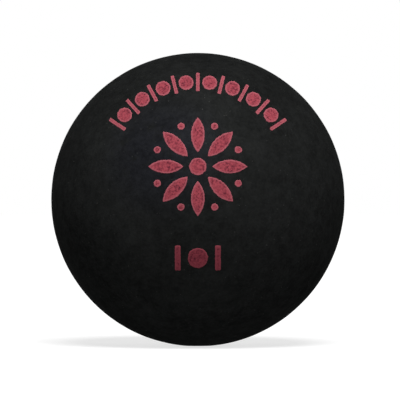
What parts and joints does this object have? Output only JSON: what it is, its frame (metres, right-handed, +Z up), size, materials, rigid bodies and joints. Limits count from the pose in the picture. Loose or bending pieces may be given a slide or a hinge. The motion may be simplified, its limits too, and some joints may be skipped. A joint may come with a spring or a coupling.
{
  "type": "squash ball",
  "caption": "Hollow black rubber squash ball, made of half shells cemented along a seam, with a red print on the front.",
  "frame": {"origin": "centre of the ball, which is the centre of both half shells and of the air chamber", "axes": "+Z up, with the print upright; the print faces -Y; the seam lies in the XZ plane, so +Y runs square to the seam from the printed half to the plain half; +X is to the right for someone who reads the print"},
  "size_m": [0.0424, 0.0426, 0.0423],
  "materials": {
    "black_rubber": "matte, moulded and buffed all over, with a fine grain and faint cloudy patches",
    "rubber_cement": "cured rubber solution, dark brown, slightly glossy where it was squeezed out",
    "red_ink": "thin matte rubber ink, crimson, with fine pinholes where the rubber shows"
  },
  "bodies": {
    "root": {"front_half_shell": "black_rubber", "rear_half_shell": "black_rubber", "front_rim_cement": "rubber_cement", "rear_rim_cement": "rubber_cement", "arc_beads": "red_ink", "arc_reels": "red_ink", "rosette_centre_dot": "red_ink", "rosette_petals": "red_ink", "rosette_small_dots": "red_ink", "lower_mark": "red_ink"}
  },
  "joints": []
}
